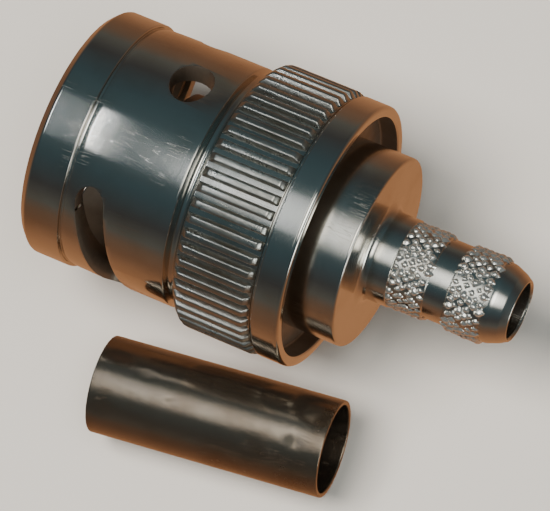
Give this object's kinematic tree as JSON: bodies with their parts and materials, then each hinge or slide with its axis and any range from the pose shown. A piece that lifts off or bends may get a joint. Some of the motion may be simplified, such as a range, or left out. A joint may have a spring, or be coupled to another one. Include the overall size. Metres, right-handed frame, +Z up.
{
  "type": "bnc connector",
  "caption": "Coaxial bayonet plug with a knurled quarter-turn coupling nut, slotted outer contact and crimp stem, beside its crimp ferrule.",
  "frame": {"origin": "on the plug's axis, in the plane of the outer contact's front rim", "axes": "+X along the plug's axis towards the cable end, +Z up as the plug lies on its coupling nut, +Y away from the ferrule"},
  "size_m": [0.0253, 0.0209, 0.0144],
  "materials": {
    "nickel_plate": "worn nickel plate on brass",
    "ferrule_plate": "dull nickel plate on copper",
    "gold_plate": "gold plate",
    "white_ptfe": "waxy white PTFE",
    "gasket_rubber": "red-brown silicone rubber",
    "spring_bronze": "spring bronze strip",
    "washer_steel": "plain steel"
  },
  "bodies": {
    "plug": {"plug_body": "nickel_plate", "outer_contact": "nickel_plate", "gasket": "gasket_rubber", "wave_washer": "spring_bronze", "front_insulator": "white_ptfe", "rear_insulator": "white_ptfe", "centre_contact": "gold_plate", "crimp_ferrule": "ferrule_plate"},
    "washer": {"flat_washer": "washer_steel"},
    "nut": {"coupling_nut": "nickel_plate"}
  },
  "joints": [
    {"name": "nut_slide", "type": "slide", "parent": "plug", "child": "washer", "axis": [-1, 0, 0], "range_m": [0, 0.00045], "stiffness_N_per_m": 12000, "springref_m": -0.00005, "deforming": ["wave_washer"]},
    {"name": "nut_turn", "type": "hinge", "parent": "washer", "child": "nut", "pos_m": [0.0085, 0, 0], "axis": [1, 0, 0], "continuous": true}
  ]
}
